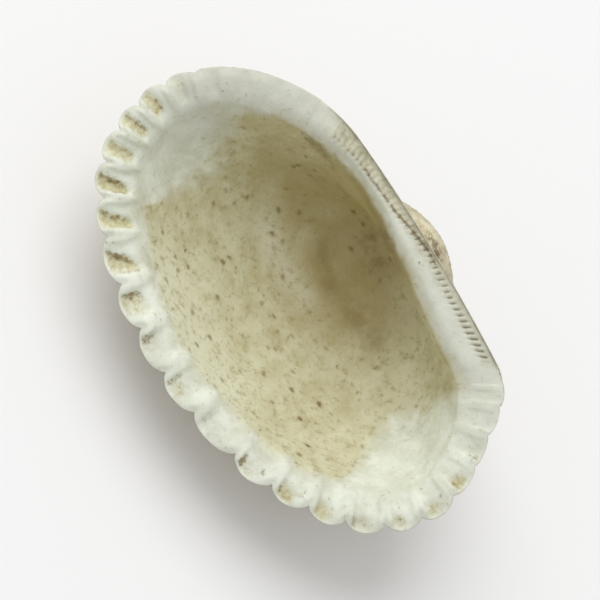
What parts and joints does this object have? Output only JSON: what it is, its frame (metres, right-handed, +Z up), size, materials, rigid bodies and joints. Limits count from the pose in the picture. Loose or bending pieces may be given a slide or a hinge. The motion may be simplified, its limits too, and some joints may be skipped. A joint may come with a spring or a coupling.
{
  "type": "ark clam shell",
  "caption": "Weathered single valve of an ark clam shell: deep and oblong, with radial ribs, a scalloped rim and a long toothed hinge, lying with its hollow up.",
  "frame": {"origin": "middle of the valve's box, on the surface that the valve rests on", "axes": "+X along the hinge towards the angular end, +Y from the free margin towards the hinge, +Z up and out of the hollow"},
  "size_m": [0.042, 0.0264, 0.0155],
  "materials": {
    "weathered_shell": "matte"
  },
  "bodies": {
    "root": {"valve": "weathered_shell"}
  },
  "joints": []
}
